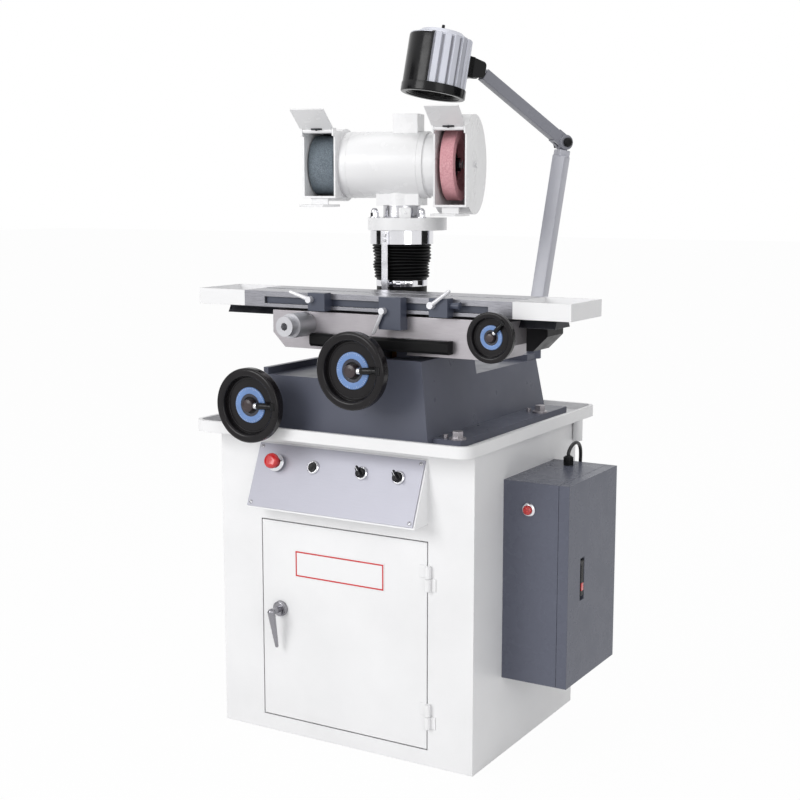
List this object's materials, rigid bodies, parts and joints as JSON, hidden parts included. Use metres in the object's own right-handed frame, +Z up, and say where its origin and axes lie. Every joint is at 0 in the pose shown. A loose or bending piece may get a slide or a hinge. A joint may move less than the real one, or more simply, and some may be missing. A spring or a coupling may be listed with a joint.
{
  "type": "tool and cutter grinder",
  "caption": "Tool and cutter grinder on a white sheet-metal cabinet, with a swivelling double-ended wheelhead, T-slotted table, folding handwheels and a jointed lamp",
  "frame": {"origin": "centre of the cabinet's floor face", "axes": "+X right, +Y back, +Z up"},
  "size_m": [0.894, 0.7436, 1.5733],
  "materials": {
    "cabinet_paint": "satin white paint",
    "slate_paint": "satin slate-grey paint",
    "head_paint": "gloss white paint",
    "machined_iron": "ground grey iron",
    "dark_steel": "dark oiled steel",
    "bright_steel": "turned steel",
    "chrome": "polished chrome",
    "panel_aluminium": "brushed aluminium",
    "wheel_black": "gloss black",
    "grip_black": "gloss black",
    "black_plastic": "matte black",
    "red_plastic": "gloss red",
    "bellows_rubber": "matte black rubber",
    "cable_rubber": "matte black",
    "grey_abrasive": "grey-green abrasive",
    "pink_abrasive": "pink abrasive",
    "bronze": "nut bronze",
    "lamp_metal": "satin aluminium"
  },
  "bodies": {
    "frame": {"cabinet": "cabinet_paint", "coolant_tray": "cabinet_paint", "panel_housing": "cabinet_paint", "panel_plate": "panel_aluminium", "switch_bezels": "dark_steel", "electric_box": "slate_paint", "cable_glands": "black_plastic", "cable_loop": "cable_rubber", "base_casting": "slate_paint", "base_bolts": "bright_steel", "column_sleeve": "slate_paint", "lamp_bracket": "slate_paint"},
    "door": {"cabinet_door": "cabinet_paint"},
    "door_handle": {"door_handle": "chrome"},
    "box_door": {"electric_door": "slate_paint"},
    "latch": {"box_latch": "black_plastic"},
    "estop": {"estop_button": "red_plastic"},
    "start": {"start_button": "black_plastic"},
    "selector_l": {"selector_left": "black_plastic"},
    "selector_r": {"selector_right": "black_plastic"},
    "saddle": {"saddle": "machined_iron", "way_cover": "black_plastic", "end_cover": "black_plastic", "cross_nut": "bronze", "center_stop": "slate_paint"},
    "center_lever": {"center_lever": "bright_steel"},
    "cross_wheel": {"cross_screw": "bright_steel", "cross_handwheel": "wheel_black"},
    "cross_handle": {"cross_handle": "grip_black"},
    "table": {"long_slide": "dark_steel", "table": "machined_iron", "end_trays": "cabinet_paint", "table_stops": "slate_paint"},
    "left_lever": {"left_lever": "bright_steel"},
    "right_lever": {"right_lever": "bright_steel"},
    "table_wheel": {"pinion_shaft": "bright_steel", "table_handwheel": "wheel_black"},
    "table_handle": {"table_handle": "grip_black"},
    "feed_knob": {"feed_knob": "bright_steel"},
    "column": {"column_tube": "chrome", "guide_bar": "bright_steel", "bellows": "bellows_rubber"},
    "lift_screw": {"elevating_screw": "bright_steel"},
    "lift_wheel": {"elevation_shaft": "bright_steel", "elevation_handwheel": "wheel_black"},
    "lift_handle": {"elevation_handle": "grip_black"},
    "head": {"swivel_base": "head_paint", "motor_housing": "head_paint", "capacitor_box": "head_paint", "left_guard": "head_paint", "right_guard": "head_paint"},
    "left_shield": {"left_shield": "panel_aluminium"},
    "right_shield": {"right_shield": "panel_aluminium"},
    "spindle": {"spindle": "bright_steel", "grey_wheel": "grey_abrasive", "pink_wheel": "pink_abrasive", "wheel_flanges": "dark_steel"},
    "lamp_low": {"lamp_lower_arm": "lamp_metal"},
    "lamp_up": {"lamp_upper_arm": "lamp_metal"},
    "lamp_head": {"lamp_head": "lamp_metal"}
  },
  "joints": [
    {"name": "door_swing", "type": "hinge", "parent": "frame", "child": "door", "pos_m": [0.216, -0.2608, 0.262], "axis": [0, 0, 1], "range_deg": [0, 115]},
    {"name": "door_latch_turn", "type": "hinge", "parent": "door", "child": "door_handle", "pos_m": [-0.162, -0.2545, 0.289], "axis": [0, -1, 0], "range_deg": [0, 90]},
    {"name": "box_door_swing", "type": "hinge", "parent": "frame", "child": "box_door", "pos_m": [0.446, 0.1433, 0.392], "axis": [0, 0, 1], "range_deg": [0, 110]},
    {"name": "box_latch_lift", "type": "hinge", "parent": "box_door", "child": "latch", "pos_m": [0.4665, -0.047, 0.434], "axis": [0, -1, 0], "range_deg": [0, 80]},
    {"name": "estop_press", "type": "slide", "parent": "frame", "child": "estop", "axis": [0, 0.9219, -0.3875], "range_m": [0, 0.006], "stiffness_N_per_m": 1500, "springref_m": -0.002},
    {"name": "start_press", "type": "slide", "parent": "frame", "child": "start", "axis": [0, 0.9219, -0.3875], "range_m": [0, 0.004], "stiffness_N_per_m": 800, "springref_m": -0.002},
    {"name": "selector_left_turn", "type": "hinge", "parent": "frame", "child": "selector_l", "pos_m": [0.064, -0.27248, 0.62122], "axis": [0, -0.9219, 0.3875], "range_deg": [-80, 0]},
    {"name": "selector_right_turn", "type": "hinge", "parent": "frame", "child": "selector_r", "pos_m": [0.154, -0.27248, 0.62122], "axis": [0, -0.9219, 0.3875], "range_deg": [-80, 0]},
    {"name": "cross_wheel_turn", "type": "hinge", "parent": "frame", "child": "cross_wheel", "pos_m": [0.095, -0.347, 0.851], "axis": [0, 1, 0], "range_deg": [-3060, 2916]},
    {"name": "cross_handle_fold", "type": "hinge", "parent": "cross_wheel", "child": "cross_handle", "pos_m": [0.16044, -0.367, 0.85558], "axis": [-0.0698, 0, 0.9976], "range_deg": [0, 90]},
    {"name": "saddle_slide", "type": "slide", "parent": "frame", "child": "saddle", "axis": [0, 1, 0], "range_m": [-0.042, 0.04]},
    {"name": "center_lever_turn", "type": "hinge", "parent": "saddle", "child": "center_lever", "pos_m": [0.128, -0.29, 0.968], "axis": [0, -1, 0], "range_deg": [-30, 30]},
    {"name": "table_slide", "type": "slide", "parent": "saddle", "child": "table", "axis": [1, 0, 0], "range_m": [-0.06, 0.13]},
    {"name": "left_lever_turn", "type": "hinge", "parent": "table", "child": "left_lever", "pos_m": [-0.052, -0.288, 0.984], "axis": [0, -1, 0], "range_deg": [-40, 45]},
    {"name": "right_lever_turn", "type": "hinge", "parent": "table", "child": "right_lever", "pos_m": [0.239, -0.288, 0.984], "axis": [0, -1, 0], "range_deg": [-34, 40]},
    {"name": "table_wheel_turn", "type": "hinge", "parent": "saddle", "child": "table_wheel", "pos_m": [0.384, -0.308, 0.9295], "axis": [0, 1, 0], "range_deg": [-340, 720]},
    {"name": "table_handle_fold", "type": "hinge", "parent": "table_wheel", "child": "table_handle", "pos_m": [0.41143, -0.3205, 0.95997], "axis": [-0.7431, 0, 0.6691], "range_deg": [0, 90]},
    {"name": "feed_knob_turn", "type": "hinge", "parent": "saddle", "child": "feed_knob", "pos_m": [-0.083, -0.262, 0.9295], "axis": [0, 1, 0], "range_deg": [-340, 720]},
    {"name": "lift_wheel_turn", "type": "hinge", "parent": "frame", "child": "lift_wheel", "pos_m": [-0.165, -0.342, 0.76], "axis": [0, 1, 0], "range_deg": [-4540, 2290]},
    {"name": "lift_handle_fold", "type": "hinge", "parent": "lift_wheel", "child": "lift_handle", "pos_m": [-0.09944, -0.362, 0.76229], "axis": [-0.0349, 0, 0.9994], "range_deg": [0, 90]},
    {"name": "column_lift", "type": "slide", "parent": "frame", "child": "column", "axis": [0, 0, 1], "range_m": [-0.05, 0.025], "deforming": ["bellows"]},
    {"name": "lift_screw_turn", "type": "hinge", "parent": "frame", "child": "lift_screw", "pos_m": [-0.041, 0.07, 0.696], "axis": [0, 0, 1], "range_deg": [-770, 1520]},
    {"name": "head_swivel", "type": "hinge", "parent": "column", "child": "head", "pos_m": [-0.041, 0.07, 1.12], "axis": [0, 0, 1], "range_deg": [-104, 76]},
    {"name": "left_shield_tilt", "type": "hinge", "parent": "head", "child": "left_shield", "pos_m": [-0.18563, -0.05675, 1.342], "axis": [0.9703, 0.2419, 0], "range_deg": [-40, 30]},
    {"name": "right_shield_tilt", "type": "hinge", "parent": "head", "child": "right_shield", "pos_m": [0.11031, 0.01703, 1.345], "axis": [0.9703, 0.2419, 0], "range_deg": [-30, 30]},
    {"name": "spindle_spin", "type": "hinge", "parent": "head", "child": "spindle", "pos_m": [-0.041, 0.07, 1.267], "axis": [0.9703, 0.2419, 0], "continuous": true},
    {"name": "lamp_swivel", "type": "hinge", "parent": "frame", "child": "lamp_low", "pos_m": [0.196, 0.285, 0.852], "axis": [0, 0, 1], "range_deg": [-120, 120]},
    {"name": "lamp_elbow", "type": "hinge", "parent": "lamp_low", "child": "lamp_up", "pos_m": [0.23672, 0.34447, 1.32044], "axis": [-0.8251, 0.565, 0], "range_deg": [0, 45]},
    {"name": "lamp_tilt", "type": "hinge", "parent": "lamp_up", "child": "lamp_head", "pos_m": [0.10744, 0.15566, 1.4783], "axis": [-0.8251, 0.565, 0], "range_deg": [0, 50]}
  ],
  "couplings": [
    {"joint": "cross_wheel_turn", "follows": "saddle_slide", "rad_per_m": 1256.6},
    {"joint": "lift_wheel_turn", "follows": "column_lift", "rad_per_m": 1570.8},
    {"joint": "lift_screw_turn", "follows": "column_lift", "rad_per_m": -523.6},
    {"joint": "table_wheel_turn", "follows": "table_slide", "rad_per_m": 95.238},
    {"joint": "feed_knob_turn", "follows": "table_slide", "rad_per_m": 95.238}
  ]
}
